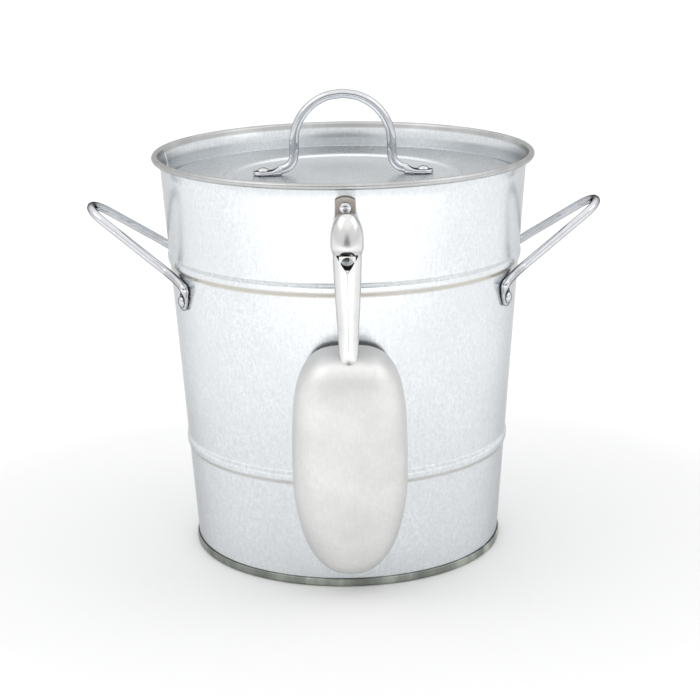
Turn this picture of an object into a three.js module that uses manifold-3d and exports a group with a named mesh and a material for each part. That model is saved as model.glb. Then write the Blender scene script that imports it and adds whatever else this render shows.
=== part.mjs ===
// Ice bucket: a double-walled galvanized pail with two riveted rod handles, a recessed lid
// with a rod handle, and a stainless scoop that hangs on a strip hook at the front.
// Millimetres, +Z up. The origin is on the bucket's axis at the surface that it stands on.
// +X runs through the right-hand side handle, and the scoop hangs on the -Y side.
import * as THREE from "three";
import { mergeVertices } from "three/addons/utils/BufferGeometryUtils.js";
import { ParametricGeometry } from "three/addons/geometries/ParametricGeometry.js";
import Module from "manifold-3d";

const wasm = await Module();
wasm.setup();

// ---- Driving dimensions ----

const sides = 48; // facets of every large turned piece, all in the same phase
const smallSides = 10; // facets of rivets, washers and rods
const fitGap = 0.3; // clearance between pieces that touch

const wallBase = 89.1; // outer radius of the wall at the floor
const wallSlope = 0.0695; // growth of that radius with height
const sheet = 0.6; // thickness of the galvanized sheet
const ribHeights = [64, 173]; // middles of the two raised ribs
const ribHalfHeight = 4;
const ribCrest = 1.5; // half height of a rib's flat crest
const ribRise = 1.0;
const flareStart = 225; // the wall flares out above this to meet the rolled rim
const rimRadius = 107.8; // middle of the rolled rim
const rimHeight = 230;
const rollRadius = 1.8; // outside of the roll
const wireRadius = 0.8;

const panRadius = 90.5; // outside of the seam ring round the base
const panHeight = 4.5;
const panSheet = 0.75;

const foamSpace = 9; // between the two walls
const linerFloor = 15; // underside of the inner bucket
const seatHeight = 213.5; // top of the liner's flange, where the lid rests

const lidRadius = 102.2;
const lidTop = 217.5;
const lidSheet = 0.7;
const lidBeadRadius = 65.3;
const lidBeadHalfWidth = 4.2;
const lidBeadRise = 1.1;
const plugRadius = 91.5; // the lid's pan, inside the liner's mouth
const plugBottom = 203;

const lidRod = 2.6; // radius of the lid handle's rod
const lidArchRadius = 28;
const lidArchTop = 266.7; // the highest point of the whole object
const lidFootSpan = 92; // between the lid's two rivets
const lidLegBend = 9;

const sideRod = 2.4; // radius of the side handles' rod
const loopTipX = 145.6; // middle of the rod at the loop's tip
const loopTipZ = 200.6;
const loopTipRadius = 16;
const loopRise = THREE.MathUtils.degToRad(35.5);
const loopSplay = THREE.MathUtils.degToRad(20.5);
const loopLeg = 48; // straight part of each leg
const sideRivetHeight = 154.5;
const sideRivetAngle = THREE.MathUtils.degToRad(26.25); // middle of a facet
const sideFootTurn = THREE.MathUtils.degToRad(33); // the feet splay along the wall

const footWidth = 8.8; // a rod's end hammered flat
const footSheet = 2.2;
const footBefore = 8; // from the rivet back to the rod
const footAfter = 1.2; // from the rivet to the middle of the foot's round end

const rivetHead = 3.3;
const rivetDome = 1.9;
const rivetShank = 1.7;
const rivetHole = 2.05;
const washerRadius = 4.2;
const washerSheet = 0.7;

const hookWidth = 11;
const hookSheet = 1.2;
const hookTop = 224.4;
const hookShoulder = 203; // below this the strip narrows to its nose
const hookNose = 3.8;
const hookBendHeight = 194;
const hookBendRadius = 3.4;
const hookTip = 6.5;
const hookRivetHeight = 218.5;
const hookShift = 0.8; // the hook is riveted on this much to the right of the middle

const scoopStandOff = 4; // the bowl's rim from the wall
const scoopShift = 1.5; // the scoop hangs this much to the right of the middle
const bowlTip = 10;
const bowlBack = 144;
const bowlMiddle = 74;
const bowlHalfWidth = 31.5;
const bowlDepth = 30;
const bowlSheet = 1.0;
const bowlDraft = 0.08; // how much the bottom is narrower than the rim
const bowlBackSharpness = 3.3; // exponents of the rim's outline: 2 is an ellipse
const bowlTipSharpness = 2.25;

const neckDepth = 15; // the handle's axis at the neck, outward from the rim's plane
const handleSheet = 0.8;
const headDepth = 10.3; // the handle's axis at the hanging hole, outward from the rim's plane
const neckHeight = 144.4;
const handleHoleHeight = 193.2;
const handleHole = 3.6;
const seamGap = 0.5;

// ---- Colours and finishes ----

const finishes = {
  galvanized: { color: 0xd5dadd, roughness: 0.42, metalness: 0.85 },
  liner: { color: 0xb9c2c3, roughness: 0.4, metalness: 0.85 },
  seam: { color: 0x6d716c, roughness: 0.5, metalness: 0.7 },
  chrome: { color: 0xdcdde0, roughness: 0.08, metalness: 1 },
  nickel: { color: 0x9c948c, roughness: 0.35, metalness: 0.9 },
  scoop: { color: 0xd9d8d4, roughness: 0.3, metalness: 0.95 },
  foam: { color: 0xe8e4d8, roughness: 0.95, metalness: 0 },
};

// ---- Solids ----

const flat = (x, y) => new THREE.Vector2(x, y);
const toUp = new THREE.Matrix4().makeRotationX(Math.PI / 2);

function closedGeometry(geometry) {
  const bare = geometry.clone();
  bare.deleteAttribute("normal");
  bare.deleteAttribute("uv");
  return mergeVertices(bare, 1e-4);
}

function solidOf(geometry) {
  const closed = closedGeometry(geometry);
  return new wasm.Manifold(
    new wasm.Mesh({
      numProp: 3,
      vertProperties: closed.attributes.position.array,
      triVerts: new Uint32Array(closed.index.array),
    }),
  );
}

function geometryOf(solid) {
  const mesh = solid.getMesh();
  const geometry = new THREE.BufferGeometry();
  geometry.setAttribute("position", new THREE.BufferAttribute(mesh.vertProperties, 3));
  geometry.setIndex(new THREE.BufferAttribute(mesh.triVerts, 1));
  geometry.computeVertexNormals();
  return geometry;
}

function cut(geometry, ...tools) {
  const whole = tools.reduce((rest, tool) => rest.subtract(solidOf(tool)), solidOf(geometry));
  return geometryOf(whole);
}

function join(geometry, ...others) {
  const whole = others.reduce((rest, other) => rest.add(solidOf(other)), solidOf(geometry));
  return geometryOf(whole);
}

// A solid turned about Z from [radius, height] points that run up its outside.
function turned(profile, facets = sides) {
  const points = profile.map(([radius, height]) => flat(radius, height));
  const last = profile[profile.length - 1];
  if (profile[0][0] > 0 || last[0] > 0) points.push(points[0].clone());
  return new THREE.LatheGeometry(points, facets).applyMatrix4(toUp);
}

function disc(radius, bottom, top, facets = sides) {
  return turned([[0, bottom], [radius, bottom], [radius, top], [0, top]], facets);
}

function extruded(shape, depth) {
  return new THREE.ExtrudeGeometry(shape, { depth, bevelEnabled: false, curveSegments: 6 });
}

// A round rod along a curve.
function rod(curve, radius, steps) {
  const section = new THREE.Shape();
  for (let i = 0; i < smallSides; i += 1) {
    const turn = (2 * Math.PI * i) / smallSides;
    const corner = flat(radius * Math.cos(turn), radius * Math.sin(turn));
    if (i === 0) section.moveTo(corner.x, corner.y);
    else section.lineTo(corner.x, corner.y);
  }
  section.closePath();
  return new THREE.ExtrudeGeometry(section, { steps, extrudePath: curve });
}

const wallRadius = (height) => wallBase + wallSlope * height;

// ---- Bucket ----

// The wall's outside from its bottom edge to the flare, as [radius, height].
function wallOutside() {
  const bottom = panSheet + 2 * fitGap;
  const points = [[wallRadius(bottom), bottom]];
  for (const middle of ribHeights) {
    const crest = [
      [-ribHalfHeight, 0],
      [-ribCrest, ribRise],
      [ribCrest, ribRise],
      [ribHalfHeight, 0],
    ];
    for (const [above, rise] of crest) {
      points.push([wallRadius(middle + above) + rise, middle + above]);
    }
  }
  points.push([wallRadius(flareStart), flareStart]);
  return points;
}

function arcPoints(centre, radius, from, to, count) {
  const points = [];
  for (let i = 0; i <= count; i += 1) {
    const angle = THREE.MathUtils.degToRad(from + ((to - from) * i) / count);
    const [x, y] = centre;
    points.push([x + radius * Math.cos(angle), y + radius * Math.sin(angle)]);
  }
  return points;
}

function outerShell() {
  const outside = wallOutside();
  const inside = outside.map(([radius, height]) => [radius - sheet, height]).reverse();
  const rim = [rimRadius, rimHeight];
  const underRoll = arcPoints(rim, rollRadius - sheet, 180, -90, 6);
  const overRoll = arcPoints(rim, rollRadius, -90, 180, 6);
  return turned([...outside, ...underRoll, ...overRoll, ...inside]);
}

function rimWire() {
  return turned(arcPoints([rimRadius, rimHeight], wireRadius, -180, 120, 5));
}

function basePan() {
  const inside = wallRadius(panHeight) + fitGap + 0.05;
  return turned([
    [0, 0],
    [panRadius - 1, 0],
    [panRadius, 1],
    [panRadius, panHeight - 0.8],
    [panRadius - 0.4, panHeight],
    [inside, panHeight],
    [inside, panSheet],
    [0, panSheet],
  ]);
}

const linerOutside = (height) => wallRadius(height) - sheet - foamSpace;

function innerLiner() {
  const under = seatHeight - sheet;
  const flange = wallRadius(under) - sheet - 1.5 * fitGap;
  const hem = linerOutside(linerFloor) - 5;
  return turned([
    [hem, linerFloor],
    [linerOutside(linerFloor), linerFloor],
    [linerOutside(under), under],
    [flange, under],
    [flange, seatHeight],
    [linerOutside(seatHeight) - sheet, seatHeight],
    [linerOutside(linerFloor) - sheet, linerFloor + sheet],
    [hem, linerFloor + sheet],
  ]);
}

function linerFloorDisc() {
  const bottom = linerFloor + sheet + fitGap;
  return disc(linerOutside(bottom) - sheet - 1.5 * fitGap, bottom, bottom + sheet);
}

// Foam between the walls, with a pocket round the inner end of each handle rivet.
function insulationSleeve(pockets) {
  const top = seatHeight - sheet - fitGap;
  const clear = 1.5 * fitGap;
  const foam = turned([
    [linerOutside(linerFloor) + clear, linerFloor],
    [wallRadius(linerFloor) - sheet - clear, linerFloor],
    [wallRadius(top) - sheet - clear, top],
    [linerOutside(top) + clear, top],
  ]);
  return cut(foam, ...pockets);
}

function insulationBase() {
  const bottom = panSheet + fitGap;
  return disc(wallRadius(bottom) - sheet - 2 * fitGap, bottom, linerFloor - 2 * fitGap);
}

// ---- Rivets, washers and feet, about a local Z that points out of the sheet ----

// depth: how far the shank runs below the face that the head sits on.
function rivet(depth, tailRadius, tailSheet) {
  const dome = arcPoints([0, 0], 1, 0, 90, 3).map(([x, y]) => [x * rivetHead, y * rivetDome]);
  return turned(
    [
      [0, -depth - tailSheet],
      [tailRadius, -depth - tailSheet],
      [tailRadius, -depth],
      [rivetShank, -depth],
      [rivetShank, 0],
      ...dome.slice(0, -1),
      [0, rivetDome],
    ],
    smallSides,
  );
}

function washer(top) {
  const bottom = top - washerSheet;
  return turned(
    [[rivetHole, bottom], [washerRadius, bottom], [washerRadius, top], [rivetHole, top]],
    smallSides,
  );
}

// A flattened rod end with its hole at the origin. It reaches back along +Y to the rod.
function foot(back) {
  const half = footWidth / 2;
  const outline = new THREE.Shape();
  outline.moveTo(half, back - half);
  outline.absarc(0, back - half, half, 0, Math.PI, false);
  outline.lineTo(-half, -footAfter);
  outline.absarc(0, -footAfter, half, Math.PI, 2 * Math.PI, false);
  const hole = new THREE.Path();
  hole.absarc(0, 0, rivetHole, 0, 2 * Math.PI, true);
  outline.holes.push(hole);
  return extruded(outline, footSheet);
}

// ---- Side handles ----

const facetFlat = Math.cos(Math.PI / sides); // a facet's middle is this much nearer the axis

// Where a handle rivet meets the wall: +Z out of the wall, +Y up along it.
// side is 1 on the right and -1 on the left, and end is 1 at the back and -1 at the front.
function wallFrame(side, end) {
  const angle = side > 0 ? end * sideRivetAngle : Math.PI - end * sideRivetAngle;
  const radius = wallRadius(sideRivetHeight) * facetFlat;
  const out = new THREE.Vector3(Math.cos(angle), Math.sin(angle), -wallSlope).normalize();
  const across = new THREE.Vector3(-Math.sin(angle), Math.cos(angle), 0);
  const up = new THREE.Vector3().crossVectors(out, across);
  const place = new THREE.Matrix4().makeBasis(across, up, out);
  const [x, y] = [radius * Math.cos(angle), radius * Math.sin(angle)];
  return place.setPosition(x, y, sideRivetHeight);
}

// The rod's middle line on the right-hand handle: up one leg, round the tip and down the other.
function loopCurve() {
  const out = new THREE.Vector3(Math.cos(loopRise), 0, Math.sin(loopRise));
  const across = new THREE.Vector3(0, 1, 0);
  const tip = new THREE.Vector3(loopTipX, 0, loopTipZ);
  const centre = tip.clone().addScaledVector(out, -loopTipRadius);
  const turnEnd = Math.PI / 2 - loopSplay;
  const onTip = (angle) =>
    centre
      .clone()
      .addScaledVector(out, loopTipRadius * Math.cos(angle))
      .addScaledVector(across, loopTipRadius * Math.sin(angle));
  const legEnd = (end) =>
    onTip(end * turnEnd)
      .addScaledVector(out, -loopLeg * Math.cos(loopSplay))
      .addScaledVector(across, end * loopLeg * Math.sin(loopSplay));
  // The rod's end lies along the wall, on the foot's outer side.
  const footEnd = (end, along) =>
    new THREE.Vector3(0, along, fitGap + sideRod)
      .applyMatrix4(new THREE.Matrix4().makeRotationZ(-end * sideFootTurn))
      .applyMatrix4(wallFrame(1, end));
  const points = [];
  const stations = [footBefore - 1.5, footBefore + 2.5];
  points.push(...stations.map((along) => footEnd(-1, along)), legEnd(-1));
  const straight = 4;
  for (let i = 1; i < straight; i += 1) {
    points.push(legEnd(-1).lerp(onTip(-turnEnd), i / straight));
  }
  const turns = 6;
  for (let i = 0; i <= turns; i += 1) points.push(onTip(turnEnd * ((2 * i) / turns - 1)));
  for (let i = straight - 1; i > 0; i -= 1) {
    points.push(legEnd(1).lerp(onTip(turnEnd), i / straight));
  }
  points.push(legEnd(1), ...stations.reverse().map((along) => footEnd(1, along)));
  return new THREE.CatmullRomCurve3(points, false, "centripetal");
}

function sideHandle() {
  const feet = [-1, 1].map((end) =>
    foot(footBefore)
      .applyMatrix4(new THREE.Matrix4().makeTranslation(0, 0, fitGap))
      .applyMatrix4(new THREE.Matrix4().makeRotationZ(-end * sideFootTurn))
      .applyMatrix4(wallFrame(1, end)),
  );
  return join(rod(loopCurve(), sideRod, 38), ...feet);
}

// ---- Lid ----

function lidTopSheet(holes) {
  const bead = [
    [lidBeadRadius - lidBeadHalfWidth, 0],
    [lidBeadRadius - lidBeadHalfWidth / 2, lidBeadRise],
    [lidBeadRadius + lidBeadHalfWidth / 2, lidBeadRise],
    [lidBeadRadius + lidBeadHalfWidth, 0],
  ];
  const hemBottom = seatHeight + fitGap;
  const hemTop = hemBottom + lidSheet;
  const skirtInside = lidRadius - lidSheet;
  const under = bead.map(([radius, rise]) => [radius, lidTop - lidSheet + rise]);
  const over = bead.map(([radius, rise]) => [radius, lidTop + rise]).reverse();
  const sheetOf = turned([
    [0, lidTop - lidSheet],
    ...under,
    [skirtInside - 0.6, lidTop - lidSheet],
    [skirtInside, lidTop - lidSheet - 0.6],
    [skirtInside, hemTop],
    [skirtInside - 3, hemTop],
    [skirtInside - 3, hemBottom],
    [lidRadius, hemBottom],
    [lidRadius, lidTop - 1],
    [lidRadius - 1, lidTop],
    ...over,
    [0, lidTop],
  ]);
  return cut(sheetOf, ...holes);
}

function lidPan() {
  const flangeBottom = seatHeight + 2 * fitGap + lidSheet;
  const flangeTop = flangeBottom + lidSheet;
  const flange = lidRadius - lidSheet - 2 * fitGap;
  return turned([
    [0, plugBottom],
    [plugRadius - 2, plugBottom],
    [plugRadius, plugBottom + 2],
    [plugRadius, flangeBottom],
    [flange, flangeBottom],
    [flange, flangeTop],
    [plugRadius - lidSheet, flangeTop],
    [plugRadius - lidSheet, plugBottom + 2.3],
    [plugRadius - 2.3, plugBottom + lidSheet],
    [0, plugBottom + lidSheet],
  ]);
}

function lidInsulation() {
  const top = lidTop - lidSheet - washerSheet - 2.9;
  return disc(plugRadius - 3.2, plugBottom + lidSheet + fitGap, top);
}

function lidHandle() {
  const archCentre = lidArchTop - lidRod - lidArchRadius;
  const footTop = lidTop + fitGap + lidRod;
  const level = (x, z) => new THREE.Vector3(x, 0, z);
  const rodEnd = lidFootSpan / 2 - footBefore + 2;
  const points = [level(-rodEnd, footTop), level(-lidArchRadius - lidLegBend, footTop)];
  const bend = (side, angle) =>
    level(
      side * (lidArchRadius + lidLegBend - lidLegBend * Math.cos(angle)),
      footTop + lidLegBend - lidLegBend * Math.sin(angle),
    );
  const bends = [60, 30, 0].map(THREE.MathUtils.degToRad);
  points.push(...bends.map((angle) => bend(-1, angle)));
  const turns = 10;
  for (let i = 0; i <= turns; i += 1) {
    const angle = Math.PI * (1 - i / turns);
    const [x, z] = [lidArchRadius * Math.cos(angle), lidArchRadius * Math.sin(angle)];
    points.push(level(x, archCentre + z));
  }
  points.push(...bends.reverse().map((angle) => bend(1, angle)));
  points.push(level(lidArchRadius + lidLegBend, footTop), level(rodEnd, footTop));
  const curve = new THREE.CatmullRomCurve3(points, false, "centripetal");
  const feet = [-1, 1].map((side) =>
    foot(footBefore)
      .applyMatrix4(new THREE.Matrix4().makeRotationZ((side * Math.PI) / 2))
      .applyMatrix4(
        new THREE.Matrix4().makeTranslation((side * lidFootSpan) / 2, 0, lidTop + fitGap),
      ),
  );
  return join(rod(curve, lidRod, 36), ...feet);
}

// ---- Scoop hook ----

// The strip from the side, as [outward, height]: down the wall, round, and up at 45 degrees.
function hookStrip() {
  const off = fitGap + hookSheet / 2;
  const line = [
    [wallRadius(hookTop) + off, hookTop],
    [wallRadius(hookBendHeight) + off, hookBendHeight],
  ];
  const bendCentre = [line[1][0] + hookBendRadius, hookBendHeight];
  const bend = arcPoints(bendCentre, hookBendRadius, 200, 315, 6);
  line.push(...bend);
  const [x, z] = bend[bend.length - 1];
  const reach = hookTip * Math.SQRT1_2;
  line.push([x + reach, z + reach]);
  const points = line.map(([across, height]) => flat(across, height));
  const sideOf = (sign) =>
    points.map((point, i) => {
      const before = points[Math.max(i - 1, 0)];
      const after = points[Math.min(i + 1, points.length - 1)];
      const along = after.clone().sub(before).normalize();
      return flat(-along.y, along.x).multiplyScalar((sign * hookSheet) / 2).add(point);
    });
  const outline = new THREE.Shape([...sideOf(-1), ...sideOf(1).reverse()]);
  // The shape's X is outward (-Y in the part) and its Y is up.
  return extruded(outline, hookWidth).applyMatrix4(
    new THREE.Matrix4().makeBasis(
      new THREE.Vector3(0, -1, 0),
      new THREE.Vector3(0, 0, 1),
      new THREE.Vector3(-1, 0, 0),
    ).setPosition(hookShift + hookWidth / 2, 0, 0),
  );
}

// The strip from the front: an arched top, straight edges, and a nose that fits the scoop's hole.
function hookFront() {
  const [half, nose] = [hookWidth / 2, hookNose / 2];
  const outline = new THREE.Shape();
  outline.moveTo(-nose, hookBendHeight - 10);
  outline.lineTo(nose, hookBendHeight - 10);
  outline.lineTo(nose, hookShoulder - 4);
  outline.quadraticCurveTo(half, hookShoulder - 2, half, hookShoulder + 2);
  outline.lineTo(half, hookTop - 1.6);
  outline.quadraticCurveTo(0, hookTop + 1.4, -half, hookTop - 1.6);
  outline.lineTo(-half, hookShoulder + 2);
  outline.quadraticCurveTo(-half, hookShoulder - 2, -nose, hookShoulder - 4);
  outline.closePath();
  const depth = 60;
  return extruded(outline, depth)
    .applyMatrix4(toUp)
    .translate(hookShift, -rimRadius + depth / 2, 0);
}

// At the hook's rivet: +Z out of the wall on the -Y side.
function hookFrame() {
  const out = new THREE.Vector3(0, -1, -wallSlope).normalize();
  const across = new THREE.Vector3(1, 0, 0);
  const up = new THREE.Vector3().crossVectors(out, across);
  const place = new THREE.Matrix4().makeBasis(across, up, out);
  return place.setPosition(hookShift, -wallRadius(hookRivetHeight), hookRivetHeight);
}

function scoopHook(hole) {
  const strip = solidOf(hookStrip()).intersect(solidOf(hookFront()));
  return cut(geometryOf(strip), hole);
}

// ---- Scoop, in a frame on the plane of the bowl's rim: Y runs into the bowl, Z up its length ----

const scoopTilt = Math.atan(wallSlope);

function scoopFrame() {
  const across = new THREE.Vector3(-1, 0, 0);
  const into = new THREE.Vector3(0, -Math.cos(scoopTilt), -Math.sin(scoopTilt));
  const up = new THREE.Vector3(0, -Math.sin(scoopTilt), Math.cos(scoopTilt));
  const place = new THREE.Matrix4().makeBasis(across, into, up);
  return place.setPosition(scoopShift, -wallBase - scoopStandOff, 0);
}

const power = (value, exponent) => Math.sign(value) * Math.abs(value) ** exponent;

// A point of the bowl: turn runs round it from the back, and share from the bottom to the rim.
// skin is how far the surface lies inside the bowl's outside.
function bowlPoint(turn, share, skin, target) {
  const towardsBack = Math.cos(turn);
  const outline = 2 / (towardsBack > 0 ? bowlBackSharpness : bowlTipSharpness);
  const reach = (towardsBack > 0 ? bowlBack - bowlMiddle : bowlMiddle - bowlTip) - skin;
  const x = (bowlHalfWidth - skin) * power(Math.sin(turn), outline);
  const z = reach * power(towardsBack, outline);
  const fullness = 2.2 + 1.2 * Math.min(1, towardsBack + 1);
  const angle = (share * Math.PI) / 2;
  const out = Math.sin(angle) ** (2 / fullness);
  const deep = Math.cos(angle) ** (2 / fullness);
  const spread = out * (1 - bowlDraft * deep);
  target.set(x * spread, (bowlDepth - skin) * deep, bowlMiddle + z * spread);
}

function scoopBowl() {
  const facets = 32;
  const rings = 14; // half of them outside and half inside
  const bowl = new ParametricGeometry(
    (around, across, target) => {
      const turn = (-2 * Math.PI * (Math.round(around * facets) % facets)) / facets;
      const ring = Math.round(across * rings);
      const outside = ring < rings / 2;
      const share = (outside ? ring : rings - ring) / (rings / 2 - (outside ? 1 : 0));
      bowlPoint(turn, Math.min(share, 1), outside ? 0 : bowlSheet, target);
    },
    facets,
    rings,
  );
  return bowl;
}

// The handle's axis leans from the neck at the bowl to the head at the hook.
const handleLean = Math.atan((neckDepth - headDepth) / (handleHoleHeight - neckHeight));

// Radius of the handle at each distance above its neck.
const handleProfile = [
  [5.3, 0],
  [5.5, 8],
  [6.7, 29],
  [7.4, 43],
  [7.7, 53],
  [8.9, 57],
  [8.9, 61],
  [8.2, 66],
  [7.4, 69],
  [5.1, 73],
  [2.6, 74.7],
];
const handleLength = 75.2;

function handleFrame() {
  return new THREE.Matrix4()
    .makeRotationX(handleLean)
    .setPosition(0, neckDepth, neckHeight);
}

// A rolled sheet with an open seam facing away from the bucket, a vee where the seam opens
// under the closed head, and the hanging hole in the sheet behind it.
function scoopHandle() {
  const outside = turned([[0, 0], ...handleProfile, [0, handleLength]], 20);
  const inner = handleProfile.map(([radius, along]) => [radius - handleSheet, along - 0.4]);
  const inside = turned([[0, -5], [inner[0][0], -5], ...inner, [0, handleLength - 1.2]], 20);
  const holeAlong = (handleHoleHeight - neckHeight) / Math.cos(handleLean);
  const seam = new THREE.BoxGeometry(seamGap, 20, 2 * holeAlong - 10).translate(0, 10, 0);
  const veeTop = holeAlong + 5.4;
  const vee = new THREE.Shape([
    flat(-seamGap / 2, holeAlong - 5),
    flat(seamGap / 2, holeAlong - 5),
    flat(5.6, veeTop - 2.2),
    flat(3.2, veeTop),
    flat(-3.2, veeTop),
    flat(-5.6, veeTop - 2.2),
  ]);
  const opening = extruded(vee, 20).applyMatrix4(toUp).translate(0, 20, 0);
  const hole = disc(handleHole, 0, 20, smallSides + 4)
    .applyMatrix4(toUp)
    .translate(0, 0, holeAlong);
  return cut(outside, inside, seam, opening, hole);
}

// ---- Assembly ----

const iceBucket = new THREE.Group();
iceBucket.name = "ice_bucket";

function addPiece(parent, name, geometry, finish) {
  const mesh = new THREE.Mesh(geometry, new THREE.MeshStandardMaterial(finishes[finish]));
  mesh.name = name;
  parent.add(mesh);
  return mesh;
}

function placedGroup(place) {
  const group = new THREE.Group();
  place.decompose(group.position, group.quaternion, group.scale);
  iceBucket.add(group);
  return group;
}

const corners = [
  ["left", -1, "front", -1],
  ["left", -1, "rear", 1],
  ["right", 1, "front", -1],
  ["right", 1, "rear", 1],
];
const wallTools = corners.map(([, side, , end]) => ({
  hole: disc(rivetHole, -5, 5, smallSides).applyMatrix4(wallFrame(side, end)),
  pocket: disc(washerRadius + 1.5, -4.2, 5, smallSides).applyMatrix4(wallFrame(side, end)),
}));
const hookHole = disc(rivetHole, -5, 5, smallSides).applyMatrix4(hookFrame());

const shell = cut(outerShell(), ...wallTools.map((tool) => tool.hole), hookHole);
addPiece(iceBucket, "outer_shell", shell, "galvanized");
addPiece(iceBucket, "rim_wire", rimWire(), "galvanized");
addPiece(iceBucket, "base_pan", basePan(), "seam");
addPiece(iceBucket, "inner_liner", innerLiner(), "liner");
addPiece(iceBucket, "liner_floor", linerFloorDisc(), "liner");
const pockets = wallTools.map((tool) => tool.pocket);
addPiece(iceBucket, "insulation_sleeve", insulationSleeve(pockets), "foam");
addPiece(iceBucket, "insulation_base", insulationBase(), "foam");

addPiece(iceBucket, "side_handle_right", sideHandle(), "chrome");
addPiece(iceBucket, "side_handle_left", sideHandle(), "chrome").rotation.z = Math.PI;
const footFace = fitGap + footSheet + fitGap;
const washerTop = -sheet - fitGap;
for (const [sideName, side, endName, end] of corners) {
  const place = placedGroup(wallFrame(side, end));
  const shank = footFace - washerTop + washerSheet + fitGap;
  const rivetName = `side_rivet_${sideName}_${endName}`;
  addPiece(place, rivetName, rivet(shank, 2.8, 0.9), "chrome").position.z = footFace;
  addPiece(place, `side_washer_${sideName}_${endName}`, washer(washerTop), "nickel");
}

addPiece(iceBucket, "scoop_hook", scoopHook(hookHole), "nickel");
const hookPlace = placedGroup(hookFrame());
const hookFace = fitGap + hookSheet + fitGap;
const hookRivet = rivet(hookFace + sheet + 1.5 * fitGap, 2.6, 0.5);
addPiece(hookPlace, "hook_rivet", hookRivet, "chrome").position.z = hookFace;

const lidRivetX = lidFootSpan / 2;
const lidHoles = [-lidRivetX, lidRivetX].map((x) =>
  disc(rivetHole, lidTop - 5, lidTop + 5, smallSides).translate(x, 0, 0),
);
addPiece(iceBucket, "lid_top", lidTopSheet(lidHoles), "galvanized");
addPiece(iceBucket, "lid_pan", lidPan(), "galvanized");
addPiece(iceBucket, "lid_insulation", lidInsulation(), "foam");
addPiece(iceBucket, "lid_handle", lidHandle(), "chrome");
for (const [sideName, side] of [["left", -1], ["right", 1]]) {
  const shank = footFace + lidSheet + fitGap + washerSheet + fitGap;
  const lidRivet = addPiece(iceBucket, `lid_rivet_${sideName}`, rivet(shank, 2.8, 0.9), "chrome");
  lidRivet.position.set(side * lidRivetX, 0, lidTop + footFace);
  const lidWasher = addPiece(iceBucket, `lid_washer_${sideName}`, washer(0), "nickel");
  lidWasher.position.set(side * lidRivetX, 0, lidTop - lidSheet - fitGap);
}

const scoop = placedGroup(scoopFrame());
addPiece(scoop, "scoop_bowl", scoopBowl(), "scoop");
const handle = addPiece(scoop, "scoop_handle", scoopHandle(), "scoop");
handleFrame().decompose(handle.position, handle.quaternion, handle.scale);

export default iceBucket;
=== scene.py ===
"""Ice bucket: the finished pieces, their metals and the studio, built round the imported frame.

Pieces are worked out in millimetres and made in metres. The studio is laid out in metres.
"""

import math

import bmesh
import bpy
from bpy.props import FloatProperty, FloatVectorProperty, IntProperty, PointerProperty
from mathutils import Matrix, Vector


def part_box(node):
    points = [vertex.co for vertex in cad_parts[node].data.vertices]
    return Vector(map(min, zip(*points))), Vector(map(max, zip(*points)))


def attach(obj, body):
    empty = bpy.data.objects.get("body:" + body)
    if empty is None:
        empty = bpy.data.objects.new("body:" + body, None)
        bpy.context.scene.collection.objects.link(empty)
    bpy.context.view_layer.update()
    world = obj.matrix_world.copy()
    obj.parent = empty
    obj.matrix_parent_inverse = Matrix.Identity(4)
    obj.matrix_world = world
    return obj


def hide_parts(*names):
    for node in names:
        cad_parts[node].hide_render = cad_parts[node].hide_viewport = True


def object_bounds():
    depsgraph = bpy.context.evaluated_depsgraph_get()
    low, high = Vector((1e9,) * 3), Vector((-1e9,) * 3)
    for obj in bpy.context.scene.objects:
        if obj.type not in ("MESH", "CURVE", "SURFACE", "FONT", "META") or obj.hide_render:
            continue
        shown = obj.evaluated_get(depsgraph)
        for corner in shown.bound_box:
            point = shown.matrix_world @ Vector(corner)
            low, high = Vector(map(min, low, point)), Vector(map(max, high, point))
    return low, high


bl_info = {
    "name": "Ice Bucket Maker",
    "version": (1, 0, 0),
    "blender": (4, 5, 0),
    "location": "3D View > Sidebar > Ice Bucket",
    "description": "Builds a galvanized ice bucket with its lid, handles and hanging scoop",
    "category": "Add Mesh",
}

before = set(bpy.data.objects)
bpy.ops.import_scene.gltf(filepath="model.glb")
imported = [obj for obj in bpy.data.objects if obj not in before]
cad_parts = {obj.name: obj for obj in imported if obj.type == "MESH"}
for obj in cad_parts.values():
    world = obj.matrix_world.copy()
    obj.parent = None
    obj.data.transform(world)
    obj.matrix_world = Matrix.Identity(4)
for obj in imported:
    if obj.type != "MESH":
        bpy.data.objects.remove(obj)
cad_box = [list(corner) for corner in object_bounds()]

MM = 0.001
TURN = 2 * math.pi


def node_box(node):
    """Lowest and highest corner of a frame node, in millimetres."""
    low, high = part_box(node)
    return low / MM, high / MM


wall_low, wall_high = node_box("outer_shell")
pan_high = node_box("base_pan")[1]
liner_low, liner_high = node_box("inner_liner")
floor_low, floor_high = node_box("liner_floor")
lid_low, lid_high = node_box("lid_top")
plug_low, plug_high = node_box("lid_pan")
arch_top = node_box("lid_handle")[1].z
lid_face = lid_low.z + 3.7


# ---- Settings ----


def length(name, value, description):
    """A size setting in metres, from its value in millimetres."""
    return FloatProperty(
        name=name,
        description=description,
        default=value * MM,
        min=0.0,
        unit="LENGTH",
        subtype="DISTANCE",
        precision=5,
    )


def colour(name, value, description):
    return FloatVectorProperty(
        name=name,
        description=description,
        default=value,
        size=3,
        min=0.0,
        max=1.0,
        subtype="COLOR",
    )


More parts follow.
